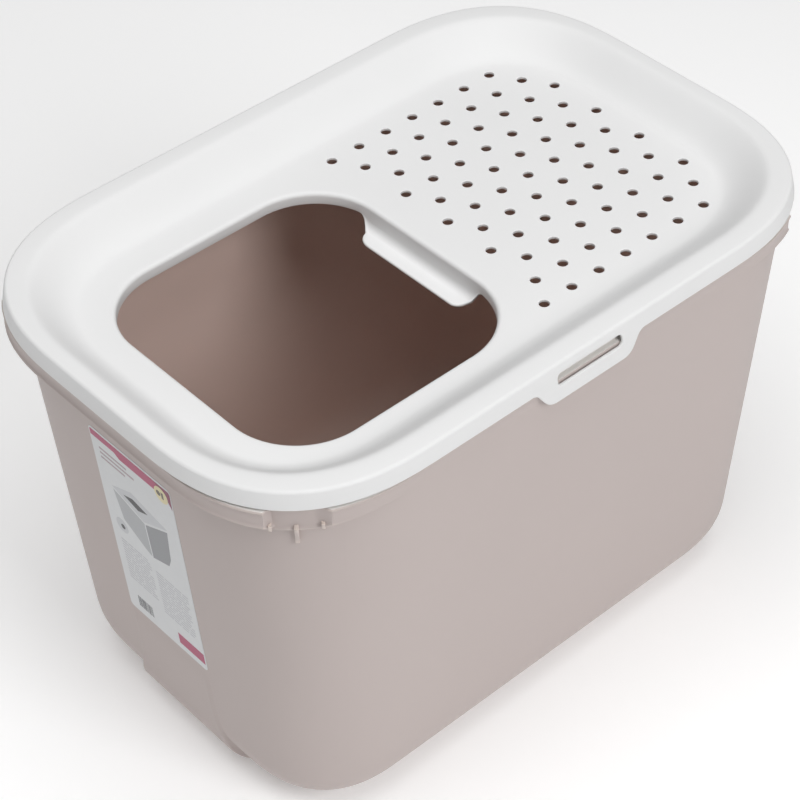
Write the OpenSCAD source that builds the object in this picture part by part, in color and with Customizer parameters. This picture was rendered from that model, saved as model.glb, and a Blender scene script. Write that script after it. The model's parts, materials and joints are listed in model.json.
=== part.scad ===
// Top-entry cat litter box: a thin-walled tub with a hinged lid. Millimetres, Z up.
// The origin is on the floor, under the centre of the tub. The entry end is at -X, the front at -Y.

/* [Overall size] */
// Length of the lid, along X
length = 585; // [560:5:610]
// Width of the lid, along Y
width = 396; // [380:4:412]
// Height from the floor to the lid's crown
height = 395; // [370:5:420]
// Reach of a rounded corner along each side of the lid
corner = 144; // [132:2:150]
// Squareness of the corners, where 2 is a circle
squareness = 2.5; // [2.2:0.1:2.8]

/* [Tub] */
// Wall thickness of the tub
tub_wall = 2.2; // [1.8:0.1:2.8]
// Draft of the end walls, in from the rim to the floor
end_draft = 25; // [20:1:30]
// Draft of the long walls, in from the rim to the floor
side_draft = 29.5; // [24:0.5:34]
// Radius of the large fillet round the base
base_fillet = 54; // [45:1:60]
// Height of the rim band above its flange's lower edge
rim_band = 33; // [32:1:34]
// Height of the turned-down rim flange
flange_height = 16; // [14:0.5:16]
// Length of the pocket in the flange at each corner
pocket_length = 42; // [34:1:46]

/* [Lid] */
// Plate thickness of the lid
lid_wall = 2.5; // [2:0.1:2.8]
// Height of the lid's skirt
skirt_height = 15; // [13:0.5:15]
// Depth of the dished top below the crown
dish_depth = 25; // [22:0.5:26]
// Width of the crown plus the skirt's draft, at the ends
crown_width = 16; // [14:0.5:18]
// Width of the slope from the crown to the dish floor
slope_width = 31; // [28:1:33]

/* [Entry] */
// Centre of the entry along X, from the middle of the lid
entry_x = -106; // [-110:1:-104]
// Centre of the entry along Y
entry_y = -6; // [-9:0.5:-4]
// Length of the entry along X
entry_length = 232; // [225:1:237]
// Width of the entry along Y
entry_width = 240; // [230:1:246]
// Corner radius of the entry
entry_radius = 60; // [50:1:66]
// Depth of the turned-down edge round the entry
edge_depth = 11; // [8:0.5:13]
// Length of the step lip beside the perforated field
lip_length = 116; // [100:1:118]

/* [Perforated field] */
// Diameter of each hole
hole_d = 8.5; // [7:0.5:10]
// Hole pitch along X
hole_pitch_x = 28.8; // [27:0.1:29]
// Row pitch along Y
hole_pitch_y = 24.2; // [22:0.1:24.6]
// Middle of the field along X
field_x = 129; // [127:0.5:130]

/* [Front tab] */
// Width of the tab across its straight lower edge and corners
tab_width = 82; // [74:1:90]
// Drop of the tab below the skirt
tab_drop = 17; // [15:0.5:19]
// Length of the slot
slot_length = 64; // [56:1:68]
// Height of the slot
slot_height = 10; // [8:0.5:11]

/* [Hinges] */
// Distance of each hinge from the middle, along X
hinge_x = 130; // [110:1:140]
// Width of the knuckle on the lid
knuckle_width = 22; // [18:1:26]
// Radius of the hinge pin
pin_r = 2.5; // [2:0.1:2.8]

/* [Label] */
// Width of the label
label_width = 98; // [90:1:102]
// Height of the label
label_height = 206; // [190:1:208]

/* [Hidden] */

CORNER_STEPS = 9;
FILLET_STEPS = 7;
SLOPE_STEPS = 6;
half_l = length / 2;
half_w = width / 2;

// Heights, from the floor
skirt_z = height - skirt_height;
dish_z = height - dish_depth;
crown_under_z = height - lid_wall;
rim_gap = 0.3;
rim_top_z = crown_under_z - rim_gap;
flange_z = height - rim_band;
ledge_z = flange_z + flange_height;

// Half lengths, half widths and corner reaches of the tub's outlines
ledge_l = half_l - 2.7;
ledge_w = half_w - 2.5;
ledge_corner = corner - 14.5;
neck_l = half_l - 6.5;
neck_w = half_w - 7.5;
neck_corner = corner - 7;
wall_l = half_l - 17.5;
wall_w = half_w - 5.5;
wall_corner = corner - 19;
base_corner = corner - 56;
base_l = wall_l - end_draft;
base_w = wall_w - side_draft;
flange_wall = 2;
flange_lap = 1;
step_rise = 0.5;
pocket_x = half_l - 41;
pocket_y = half_w - 28;
pocket_turn = 39;
pocket_depth = 6.5;
panel_wall = 2;
rib_width = 2.5;
rib_inset = 3.4;
rib_root = 12.5;
rib_drop = 20;
rib_step = 2;
panel_drop = 6;

// Lid outlines
skirt_draft = 2.4;
crown_round = 3.5;
crest_l = half_l - crown_width;
crest_w = half_w - crown_width - 5;
crest_corner = corner - 14;
floor_l = crest_l - slope_width;
floor_w = crest_w - slope_width - 5;
floor_corner = corner - 49;
slope_power = 1.8;

// Entry, with its turned-down edge
edge_wall = 2.5;
lip_reach = 19.5;
lip_drop = 22;
lip_wall = 2.5;
lip_round = 9;

// Perforated field: rows along X, each of seven holes, staggered by half a pitch
FIELD_ROWS = 11;
FIELD_COLUMNS = 7;

// Front tab
tab_x = -2;
tab_wall = 2;
tab_root_z = height - 8;
tab_flare = 17;
tab_gap = 0.3;
tab_lean = 1.2;
tab_side = tab_width / 2 + tab_flare;
skirt_face_top = half_w - skirt_draft * (tab_root_z - skirt_z) / skirt_height;

// Hinges
hinge_y = half_w + 8;
hinge_z = height - 24;
knuckle_r = pin_r + 2.7;
running_gap = 0.06;
ear_width = 6;
ear_gap = 0.5;
hinge_span = knuckle_width + 2 * (ear_gap + ear_width);
seat = 0.3;
arm_y = half_w - 0.8;
arm_z = skirt_z + 1;
arm_height = 4;
arm_out = 3.4;
plate_gap = 0.4;
bracket_height = 15;
head_size = 1.5;
head_thick = 2;

// Label and end pads
wall_angle = atan(end_draft / flange_z);
label_wall = 0.25;
label_y = -1;
label_z = height - 68.5 - label_height / 2;
pad_top_z = 116;
pad_half_top = 47;
pad_half_bottom = 66;
pad_fillet = 42;
pad_straight = 20;
pad_inset = 0.4;
pad_foot = 0.8;
pad_angle = wall_angle - 0.5;

// A coordinate of a superellipse quadrant
function squared(c) = sign(c) * pow(abs(c), 2 / squareness);

// One level ring of a rounded rectangle, anticlockwise from +X
function ring(half_x, half_y, reach, z) =
    [for (q = [0:3]) for (i = [0:CORNER_STEPS])
        let (a = 90 * (q + i / CORNER_STEPS),
             side_x = (q == 0 || q == 3) ? 1 : -1,
             side_y = q < 2 ? 1 : -1)
        [side_x * (half_x - reach) + reach * squared(cos(a)),
         side_y * (half_y - reach) + reach * squared(sin(a)), z]];

// A closed solid through a list of rings, capped at the first and the last
module loft(rings) {
    n = len(rings[0]);
    last = len(rings) - 1;
    sides = [for (k = [0:last - 1]) for (i = [0:n - 1])
        let (j = (i + 1) % n, low = k * n, high = low + n)
        each [[low + i, high + i, high + j], [low + i, high + j, low + j]]];
    polyhedron(
        points = [for (r = rings) each r],
        faces = concat([[for (i = [0:n - 1]) i]],
                       [[for (i = [n - 1:-1:0]) last * n + i]],
                       sides));
}

// The tub's wall outline at a height, grown by an offset
function wall_ring(z, grow) =
    let (t = z / flange_z)
    ring(base_l + (wall_l - base_l) * t + grow,
         base_w + (wall_w - base_w) * t + grow,
         max(20, base_corner + (wall_corner - base_corner) * t + grow), z);

// The fillet round the base: rings from the floor up, or from the inside
function base_rings(thick) =
    [for (i = [0:FILLET_STEPS])
        let (a = 90 * i / FILLET_STEPS, radius = base_fillet - thick)
        wall_ring(thick + radius * (1 - sin(a)), -thick - radius * (1 - cos(a)))];

function reversed(list) = [for (i = [len(list) - 1:-1:0]) list[i]];

// A flat rounded rectangle with true arcs
module rounded_plate(size_x, size_y, radius, thick) {
    linear_extrude(thick) {
        square([size_x - 2 * radius, size_y], center = true);
        square([size_x, size_y - 2 * radius], center = true);
        for (sx = [-1, 1])
            for (sy = [-1, 1])
                translate([sx * (size_x / 2 - radius), sy * (size_y / 2 - radius)])
                    circle(r = radius, $fn = 64);
    }
}

// A ring of the ledge's outline, grown by an offset
function ledge_ring(z, grow = 0) = ring(ledge_l + grow, ledge_w + grow, ledge_corner + grow, z);

// A ring of the neck's outline, grown by an offset
function neck_ring(z, grow = 0) = ring(neck_l + grow, neck_w + grow, neck_corner + grow, z);

// The tub's wall, base, ledge and neck, as one thin skin
module tub_shell() {
    outside = concat(
        reversed(base_rings(0)),
        [wall_ring(ledge_z - tub_wall, 0),
         ledge_ring(ledge_z - tub_wall + step_rise),
         ledge_ring(ledge_z),
         neck_ring(ledge_z),
         neck_ring(rim_top_z)]);
    inside = concat(
        [neck_ring(rim_top_z, -tub_wall),
         neck_ring(ledge_z - tub_wall + step_rise, -tub_wall),
         wall_ring(ledge_z - 2 * tub_wall, -tub_wall)],
        base_rings(tub_wall));
    loft(concat(outside, inside));
}

// The turned-down flange that hangs from the ledge
module rim_flange() {
    difference() {
        loft([ledge_ring(flange_z), ledge_ring(ledge_z - flange_lap)]);
        loft([ledge_ring(flange_z - 1, -flange_wall), ledge_ring(ledge_z, -flange_wall)]);
    }
}

// Turns +Y outward at a corner of the rim, with X along the flange
module corner_place(sx, sy) {
    translate([sx * pocket_x, sy * pocket_y, 0])
        rotate((sy > 0 ? 0 : 180) - sx * sy * pocket_turn)
            children();
}

module each_corner() {
    for (sx = [-1, 1])
        for (sy = [-1, 1])
            corner_place(sx, sy)
                children();
}

// The space of one pocket, from its panel outward
module pocket_cut() {
    translate([-pocket_length / 2, -pocket_depth, flange_z - 1])
        cube([pocket_length, 2 * pocket_depth, ledge_z - flange_z + 2]);
}

// The recessed panel of one pocket, a rib at each end and one below its middle
module pocket_panel() {
    panel_height = ledge_z - flange_z + panel_drop - 1;
    translate([-pocket_length / 2 - rib_width, -pocket_depth - panel_wall, flange_z - panel_drop])
        cube([pocket_length + 2 * rib_width, panel_wall, panel_height]);
    for (end = [-1, 1])
        translate([end * (pocket_length + rib_width) / 2 - rib_width / 2, -rib_root, flange_z - panel_drop])
            cube([rib_width, rib_root - rib_inset, panel_height]);
    translate([-rib_width / 2, -rib_root, flange_z - rib_drop])
        cube([rib_width, rib_root - pocket_depth + rib_step, rib_drop]);
}

// A flat pad on each end wall, which stands proud where the wall curves in to the base
module end_pad(side) {
    top_x = base_l + end_draft * pad_top_z / flange_z - pad_inset;
    foot_x = top_x - pad_top_z * tan(pad_angle);
    arc = [for (i = [0:FILLET_STEPS])
        let (a = 90 * i / FILLET_STEPS)
        [foot_x + pad_foot - pad_fillet * (1 - cos(a)), pad_fillet * (1 - sin(a))]];
    inner = [for (p = reversed(arc)) [p[0] - tub_wall, p[1] + tub_wall]];
    mirror([side < 0 ? 1 : 0, 0, 0])
        intersection() {
            rotate([90, 0, 0])
                translate([0, 0, -pad_half_bottom])
                    linear_extrude(2 * pad_half_bottom)
                        polygon(concat([[top_x - tub_wall, pad_top_z], [top_x, pad_top_z]], arc, inner));
            rotate([90, 0, 90])
                linear_extrude(length)
                    polygon([[-pad_half_bottom, 0], [pad_half_bottom, 0], [pad_half_bottom, pad_straight],
                             [pad_half_top, pad_top_z], [-pad_half_top, pad_top_z],
                             [-pad_half_bottom, pad_straight]]);
        }
}

module tub() color([0.72, 0.66, 0.64]) {
    difference() {
        union() {
            tub_shell();
            rim_flange();
        }
        each_corner()
            pocket_cut();
    }
    each_corner()
        pocket_panel();
    for (side = [-1, 1])
        end_pad(side);
}

// The lid's upper and lower surfaces, from the dish floor over the crown and back under it
module lid_shell() {
    slope = [for (i = [0:SLOPE_STEPS])
        let (t = i / SLOPE_STEPS)
        [t, (pow(t, slope_power) + t * t * (3 - 2 * t)) / 2]];
    top = [for (s = slope)
        ring(floor_l + (crest_l - floor_l) * s[0], floor_w + (crest_w - floor_w) * s[0],
             floor_corner + (crest_corner - floor_corner) * s[0],
             dish_z + (dish_depth - 0.8) * s[1])];
    crown = [
        ring(crest_l + 3, crest_w + 3, crest_corner + 3, height),
        ring(half_l - skirt_draft - crown_round, half_w - skirt_draft - crown_round,
             corner - 6, height),
        ring(half_l - skirt_draft - 1, half_w - skirt_draft - 1, corner - 3, height - 1),
        ring(half_l - skirt_draft, half_w - skirt_draft, corner - 2, height - crown_round),
        ring(half_l, half_w, corner, skirt_z),
        ring(half_l - lid_wall, half_w - lid_wall, corner - lid_wall, skirt_z),
        ring(half_l - skirt_draft - lid_wall, half_w - skirt_draft - lid_wall, corner - 5, crown_under_z),
        ring(crest_l + 3.5, crest_w + 3.5, crest_corner + 3, crown_under_z)];
    under = [for (s = reversed(slope))
        ring(floor_l + 2 + (crest_l - floor_l - 1) * s[0], floor_w + 2 + (crest_w - floor_w - 1) * s[0],
             floor_corner + 2 + (crest_corner - floor_corner) * s[0],
             dish_z - lid_wall + (dish_depth - 1.4) * s[1])];
    loft(reversed(concat(top, crown, under)));
}

module entry_cut() {
    translate([entry_x, entry_y, dish_z - lid_wall - edge_depth - 1])
        rounded_plate(entry_length, entry_width, entry_radius, lid_wall + edge_depth + 2);
}

// The turned-down edge that hangs under the dish floor, all round the entry
module entry_edge() {
    difference() {
        translate([entry_x, entry_y, dish_z - edge_depth])
            rounded_plate(entry_length + 2 * edge_wall, entry_width + 2 * edge_wall,
                          entry_radius + edge_wall, edge_depth - 1);
        entry_cut();
    }
}

// The deeper wall and the flat lip that the cat steps on, beside the perforated field
module step_lip() {
    edge_x = entry_x + entry_length / 2;
    lip_z = dish_z - lip_drop;
    translate([edge_x, entry_y - lip_length / 2, lip_z])
        cube([edge_wall, lip_length, lip_drop - 1]);
    translate([edge_x + edge_wall - lip_reach / 2, entry_y, lip_z])
        rounded_plate(lip_reach, lip_length, lip_round, lip_wall);
}

// True round holes, each row shifted by half a pitch and the outer rows by a whole one
module field_holes() {
    for (row = [0:FIELD_ROWS - 1])
        for (column = [0:FIELD_COLUMNS - 1]) {
            outer = row == 0 || row == FIELD_ROWS - 1;
            shift = outer ? -0.5 : (row % 2 == 0 ? 0.5 : 0);
            translate([field_x + (column - (FIELD_COLUMNS - 1) / 2 + shift) * hole_pitch_x,
                       (row - (FIELD_ROWS - 1) / 2) * hole_pitch_y, dish_z - lid_wall - 1])
                cylinder(h = lid_wall + 2, d = hole_d, $fn = 24);
        }
}

// The notch in the skirt that the front tab fills
module tab_notch() {
    translate([tab_x - tab_side - tab_gap, -half_w - 1, skirt_z - 1])
        cube([2 * (tab_side + tab_gap), 2 + skirt_draft + lid_wall, tab_root_z + tab_gap - skirt_z + 1]);
}

module lid() color([0.93, 0.93, 0.94]) {
    difference() {
        lid_shell();
        entry_cut();
        field_holes();
        tab_notch();
    }
    entry_edge();
    step_lip();
}

// Front view outline of the tab: flared into the skirt at the top, rounded below
module tab_outline() {
    low = skirt_z - tab_drop;
    polygon([[tab_side, tab_root_z], [tab_side, skirt_z + 0.2], [tab_side - 8, skirt_z - 0.6],
             [tab_width / 2 + 4, skirt_z - 6], [tab_width / 2 - 2, low + 5], [tab_width / 2 - 8, low],
             [8 - tab_width / 2, low], [2 - tab_width / 2, low + 5], [-tab_width / 2 - 4, skirt_z - 6],
             [8 - tab_side, skirt_z - 0.6], [-tab_side, skirt_z + 0.2], [-tab_side, tab_root_z]]);
}

module front_tab() color([0.93, 0.93, 0.94])
    difference() {
        intersection() {
            translate([tab_x, 0, 0])
                rotate([90, 0, 0])
                    linear_extrude(half_w + 5)
                        tab_outline();
            translate([tab_x - tab_side, 0, 0])
                rotate([90, 0, 90])
                    linear_extrude(2 * tab_side)
                        polygon([[-skirt_face_top, tab_root_z], [-half_w, skirt_z],
                                 [-half_w - tab_lean, skirt_z - tab_drop - 1],
                                 [-half_w - tab_lean + tab_wall, skirt_z - tab_drop - 1],
                                 [-half_w + tab_wall, skirt_z], [-skirt_face_top + tab_wall, tab_root_z]]);
        }
        translate([tab_x, -half_w + tab_wall + 3, skirt_z + 0.5])
            rotate([90, 0, 0])
                rounded_plate(slot_length, slot_height, 3.5, tab_wall + 8);
    }

// A bar along X about a hinge's middle, from an outline of (y, z) points
module hinge_bar(side, low, span, points) {
    translate([side * hinge_x + low, 0, 0])
        rotate([90, 0, 90])
            linear_extrude(span)
                polygon(points);
}

// A round bar along X on a hinge's axis
module hinge_round(side, low, span, radius) {
    translate([side * hinge_x + low, hinge_y, hinge_z])
        rotate([0, 90, 0])
            cylinder(h = span, r = radius, $fn = 48);
}

// A barrel with a true bore, on the lid, and its sloping arm up to the skirt
module lid_hinge(side) color([0.93, 0.93, 0.94])
    difference() {
        union() {
            hinge_round(side, -knuckle_width / 2, knuckle_width, knuckle_r);
            hinge_bar(side, -knuckle_width / 2, knuckle_width,
                      [[arm_y, arm_z], [hinge_y - knuckle_r, arm_z],
                       [hinge_y, hinge_z], [hinge_y + knuckle_r, hinge_z],
                       [half_w + arm_out, arm_z + arm_height], [arm_y, arm_z + arm_height]]);
        }
        hinge_round(side, -knuckle_width / 2 - 1, knuckle_width + 2, pin_r + running_gap);
    }

// Two tapered ears with true bores on one plate that is fixed to the back of the rim
module tub_hinge(side) color([0.72, 0.66, 0.64]) {
    back_y = ledge_w - seat;
    plate_y = hinge_y - knuckle_r - plate_gap;
    low_z = ledge_z - bracket_height;
    difference() {
        union() {
            hinge_bar(side, -hinge_span / 2, hinge_span,
                      [[back_y, low_z], [plate_y, low_z], [plate_y, ledge_z], [back_y, ledge_z]]);
            for (low = [-hinge_span / 2, hinge_span / 2 - ear_width]) {
                hinge_round(side, low, ear_width, knuckle_r);
                hinge_bar(side, low, ear_width,
                          [[back_y, low_z], [hinge_y, hinge_z - knuckle_r],
                           [hinge_y, hinge_z + knuckle_r], [back_y, ledge_z]]);
            }
        }
        hinge_round(side, -hinge_span / 2 - 1, hinge_span + 2, pin_r);
    }
}

// A headed pin through both ears and the knuckle
module hinge_pin(side) color([0.6, 0.55, 0.53]) {
    hinge_round(side, -hinge_span / 2 - head_size, hinge_span + 2 * head_size, pin_r);
    hinge_round(side, side > 0 ? hinge_span / 2 : -hinge_span / 2 - head_thick, head_thick,
                pin_r + head_size);
}

// A thin printed film on the flat of the entry end's wall
module label() color([0.9, 0.9, 0.9])
    translate([-(base_l + end_draft * label_z / flange_z), label_y, label_z])
        rotate([0, -wall_angle, 0])
            translate([-label_wall, 0, 0])
                rotate([0, 90, 0])
                    rounded_plate(label_height, label_width, 6, label_wall);

tub();
lid();
front_tab();
lid_hinge(-1);  // lid_hinge_left
lid_hinge(1);  // lid_hinge_right
tub_hinge(-1);  // tub_hinge_left
tub_hinge(1);  // tub_hinge_right
hinge_pin(-1);  // hinge_pin_left
hinge_pin(1);  // hinge_pin_right
label();
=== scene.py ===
import json
import math
import random

import bmesh
import bpy
from mathutils import Matrix, Vector
from mathutils.geometry import delaunay_2d_cdt


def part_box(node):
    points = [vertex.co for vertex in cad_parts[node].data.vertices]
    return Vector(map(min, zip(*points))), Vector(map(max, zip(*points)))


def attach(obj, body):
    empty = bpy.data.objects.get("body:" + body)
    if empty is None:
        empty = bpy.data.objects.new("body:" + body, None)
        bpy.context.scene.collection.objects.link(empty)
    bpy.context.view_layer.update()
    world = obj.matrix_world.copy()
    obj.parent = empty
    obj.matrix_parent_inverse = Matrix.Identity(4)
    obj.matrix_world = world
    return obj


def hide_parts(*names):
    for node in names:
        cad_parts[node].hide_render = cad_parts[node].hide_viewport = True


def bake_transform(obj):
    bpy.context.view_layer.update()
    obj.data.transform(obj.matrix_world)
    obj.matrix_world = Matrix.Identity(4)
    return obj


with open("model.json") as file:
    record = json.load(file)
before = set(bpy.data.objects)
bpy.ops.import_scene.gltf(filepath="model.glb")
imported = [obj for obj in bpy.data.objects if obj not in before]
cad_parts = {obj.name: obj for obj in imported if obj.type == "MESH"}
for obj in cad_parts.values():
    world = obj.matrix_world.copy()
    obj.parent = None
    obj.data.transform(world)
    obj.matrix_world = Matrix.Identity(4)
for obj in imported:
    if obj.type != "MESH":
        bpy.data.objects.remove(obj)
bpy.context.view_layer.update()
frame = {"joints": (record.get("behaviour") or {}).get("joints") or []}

# A top-entry cat litter box: a thin-walled tub, a dished lid with an entry and a perforated field.
# Lengths are in millimetres, in the frame's axes, until Shell.piece turns them into metres.

METRE = 0.001


def box_mm(node):
    """A CAD node's lowest and highest corners, in millimetres."""
    low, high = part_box(node)
    return low / METRE, high / METRE


LID_LOW, LID_HIGH = box_mm("lid")
TAB_LOW, TAB_HIGH = box_mm("front_tab")
LABEL_LOW, LABEL_HIGH = box_mm("label")

# ---------------------------------------------------------------- sizes

# An outline is a half length, a half width and the reach of its corners.
HALF_L = (LID_HIGH.x - LID_LOW.x) / 2
HALF_W = -LID_LOW.y
CROWN_Z = LID_HIGH.z
RIM_TOP_Z = box_mm("tub")[1].z
SKIRT_Z = CROWN_Z - 15
DISH_Z = CROWN_Z - 25
LEDGE_Z = CROWN_Z - 17
FLANGE_Z = CROWN_Z - 33

SQUARENESS = 2.5
CORNER = 144
LID_WALL = 2.5
SKIRT_DRAFT = 2.8
CROWN_ROUND = 3
EDGE_ROUND = 0.8
LEAST_REACH = 8

CREST = (HALF_L - 16, HALF_W - 21, CORNER - 14)
FLOOR = (HALF_L - 47, HALF_W - 57, CORNER - 49)
SLOPE_POWER = 1.8

ENTRY_CENTRE = (-106, -6)
ENTRY_SIZE = (232, 240)
ENTRY_RADIUS = 60
ENTRY_FOLD = 3.5
ENTRY_DEPTH = 11

# The step lip beside the entry, with what each of its ends takes to rise and to round off.
LIP_LOW_Y = ENTRY_CENTRE[1] - 58
LIP_HIGH_Y = ENTRY_CENTRE[1] + 58
LIP_SPREAD = (7, 13)
LIP_END_ROUND = (9, 13)
LIP_Z = DISH_Z - 20.75
LIP_REACH = 17
LIP_BEND = 7
LIP_TURN = math.radians(88)

HOLE_R = 4.25
HOLE_PITCH = (28.8, 24.2)
FIELD_X = 129
FIELD_ROWS = 11
FIELD_COLUMNS = 7

TUB_WALL = 2.2
BASE_FILLET = 54
BASE_RECESS = 1.5
WALL_TOP = (HALF_L - 17.5, HALF_W - 5.5, CORNER - 19)
WALL_FOOT = (HALF_L - 42.5, HALF_W - 35, CORNER - 56)
LEDGE = (HALF_L - 2.7, HALF_W - 2.5, CORNER - 14.5)
NECK = (HALF_L - 6.5, HALF_W - 7.5, CORNER - 7)
FLANGE_WALL = 2


# ---------------------------------------------------------------- mesh tools


def smooth(t):
    """0 below 0, 1 above 1, and a smooth rise between."""
    t = min(1.0, max(0.0, t))
    return t * t * (3 - 2 * t)


def mix(a, b, t):
    return a + (b - a) * t


def mix_spec(a, b, t):
    """A half length, half width and corner reach between two such sets."""
    return tuple(mix(x, y, t) for x, y in zip(a, b))


def grow(spec, offset):
    """The outline that lies an offset outside another."""
    return (spec[0] + offset, spec[1] + offset, max(LEAST_REACH, spec[2] + offset))


def soft_min(a, b, width):
    """The smaller of two values, with a rounded change from one to the other."""
    return (a + b - math.hypot(a - b, width)) / 2


def corner_xy(spec, angle):
    """A point of the +X +Y corner, 0 degrees at the end wall and 90 at the long wall."""
    half_x, half_y, reach = spec
    power = 2 / SQUARENESS
    c = max(0.0, math.cos(math.radians(angle)))
    s = max(0.0, math.sin(math.radians(angle)))
    return half_x - reach + reach * c ** power, half_y - reach + reach * s ** power


def turned(points, quadrant):
    """Points of the +X +Y quadrant, mirrored to quadrant 0 to 3 and kept anticlockwise."""
    sign_x = (1, -1, -1, 1)[quadrant]
    sign_y = (1, 1, -1, -1)[quadrant]
    out = [Vector((sign_x * p[0], sign_y * p[1], *p[2:])) for p in points]
    return out[::-1] if quadrant % 2 else out


def corner_arc(half_x, half_y, radius, steps):
    """The round of a rectangle's +X +Y corner."""
    angles = [math.pi / 2 * i / steps for i in range(steps + 1)]
    return [(half_x - radius + radius * math.cos(a), half_y - radius + radius * math.sin(a))
            for a in angles]


def circle(centre, radius, steps=24):
    angles = [2 * math.pi * i / steps for i in range(steps)]
    return [Vector((centre[0] + radius * math.cos(a), centre[1] + radius * math.sin(a))) for a in angles]


def arc_points(centre, radius, first, last, steps):
    """An arc from one angle to another, in degrees."""
    angles = [math.radians(mix(first, last, i / steps)) for i in range(steps + 1)]
    return [Vector((centre[0] + radius * math.cos(a), centre[1] + radius * math.sin(a))) for a in angles]


def fillet_path(corners, radii, steps=8):
    """A line through corners, with an arc of the given radius at each inner corner."""
    path = [Vector(corners[0])]
    for before, corner, after, radius in zip(corners, corners[1:], corners[2:], radii):
        here = Vector(corner)
        back = (Vector(before) - here).normalized()
        on = (Vector(after) - here).normalized()
        half = math.acos(max(-1.0, min(1.0, back.dot(on)))) / 2
        if radius <= 0 or half > math.pi / 2 - 1e-3:
            path.append(here)
            continue
        centre = here + (back + on).normalized() * (radius / math.sin(half))
        first = (here + back * (radius / math.tan(half)) - centre).normalized()
        last = (here + on * (radius / math.tan(half)) - centre).normalized()
        path += [centre + first.slerp(last, i / steps) * radius for i in range(steps + 1)]
    path.append(Vector(corners[-1]))
    return path


def offset_loop(loop, distance, closed=True):
    """A 2D line moved to its left by a distance."""
    out = []
    count = len(loop)
    for i, here in enumerate(loop):
        before = loop[i - 1] if closed or i else here
        after = loop[(i + 1) % count] if closed or i < count - 1 else here
        normal = Vector((0, 0))
        for a, b in ((before, here), (here, after)):
            edge = (b - a).to_2d()
            if edge.length > 1e-9:
                edge.normalize()
                normal += Vector((-edge.y, edge.x))
        out.append(here + normal.normalized() * distance)
    return out


def loop_box(loop):
    """A loop's lowest and highest x, and its lowest and highest y."""
    xs, ys = [p[0] for p in loop], [p[1] for p in loop]
    return min(xs), max(xs), min(ys), max(ys)


def inside(point, loop):
    """Whether a 2D point lies in a closed loop."""
    hit = False
    for a, b in zip(loop, loop[1:] + loop[:1]):
        if (a[1] > point[1]) != (b[1] > point[1]):
            if point[0] < a[0] + (point[1] - a[1]) * (b[0] - a[0]) / (b[1] - a[1]):
                hit = not hit
    return hit


class Shell:
    """Points in millimetres and faces, gathered into one mesh."""

    def __init__(self):
        self.points = []
        self.faces = []

    def add(self, points):
        """Add points and return their numbers."""
        first = len(self.points)
        self.points.extend(Vector(p) for p in points)
        return list(range(first, len(self.points)))

    def strip(self, low, high, closed=True, skip=()):
        """Four-sided faces between two rows of point numbers."""
        for i in range(len(low) if closed else len(low) - 1):
            if i not in skip:
                j = (i + 1) % len(low)
                self.faces.append((low[i], low[j], high[j], high[i]))

    def loft(self, rings, closed=True):
        """Faces between rings of points. Returns each ring's point numbers."""
        rows = [self.add(ring) for ring in rings]
        for low, high in zip(rows, rows[1:]):
            self.strip(low, high, closed)
        return rows

    def plate(self, outer, holes, place, inner_points=()):
        """A flat sheet with holes, where place turns a 2D point into a 3D one."""
        flat = [Vector(p[:2]) for p in outer]
        loops = [(0, len(flat))]
        for hole in holes:
            loops.append((len(flat), len(flat) + len(hole)))
            flat.extend(Vector(p[:2]) for p in hole)
        edges = []
        for first, last in loops:
            edges.extend((i, i + 1 if i + 1 < last else first) for i in range(first, last))
        flat.extend(Vector(p[:2]) for p in inner_points)
        verts, _, faces, *_ = delaunay_2d_cdt(flat, edges, [list(range(len(outer)))], 1, 1e-4)
        rows = self.add(place(v) for v in verts)
        cuts = [(loop_box(hole), [tuple(p[:2]) for p in hole]) for hole in holes]
        for face in faces:
            centre = sum((verts[i] for i in face), Vector((0, 0))) / len(face)
            if not any(x0 < centre.x < x1 and y0 < centre.y < y1 and inside(centre, hole)
                       for (x0, x1, y0, y1), hole in cuts):
                self.faces.append(tuple(rows[i] for i in face))

    def piece(self, name, material, crease=40, merge=0.01):
        """One object in metres, welded, with its normals outward."""
        bm = bmesh.new()
        verts = [bm.verts.new(p * METRE) for p in self.points]
        for face in self.faces:
            corners = [verts[i] for i in face]
            if len(set(corners)) >= 3:
                try:
                    bm.faces.new(corners)
                except ValueError:
                    pass
        bmesh.ops.remove_doubles(bm, verts=bm.verts, dist=merge * METRE)
        bmesh.ops.dissolve_degenerate(bm, edges=bm.edges, dist=merge * METRE / 4)
        bmesh.ops.recalc_face_normals(bm, faces=bm.faces)
        mesh = bpy.data.meshes.new(name)
        bm.to_mesh(mesh)
        bm.free()
        for polygon in mesh.polygons:
            polygon.use_smooth = True
        mesh.set_sharp_from_angle(angle=math.radians(crease))
        mesh.materials.append(material)
        piece = bpy.data.objects.new(name, mesh)
        bpy.context.scene.collection.objects.link(piece)
        return piece


# ---------------------------------------------------------------- materials

# Materials measure in metres.
GRAIN_SCALE = 1400
GRAIN_DEPTH = 0.0004
POLYPROPYLENE_IOR = 1.49
# Where a face counts as looking inward, for the painted inside glow, and which edges count as thin, for the
# painted edge highlight.
INWARD = (-0.11, -0.13)
THIN_EDGE = (0.53, 0.66)
# The height over which the painted neck glow fades in, in metres.
PAINTED_NECK_FADE = 0.0005


def socket(shader, name, value):
    shader.inputs[name].default_value = value


def new_material(name):
    material = bpy.data.materials.new(name)
    material.use_nodes = True
    return material, material.node_tree.nodes, material.node_tree.links


def noise(nodes, links, scale, detail):
    """A cloud in the piece's own coordinates."""
    place = nodes.new("ShaderNodeTexCoord")
    cloud = nodes.new("ShaderNodeTexNoise")
    cloud.inputs["Scale"].default_value = scale
    cloud.inputs["Detail"].default_value = detail
    links.new(place.outputs["Object"], cloud.inputs["Vector"])
    return cloud.outputs["Fac"]


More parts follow.
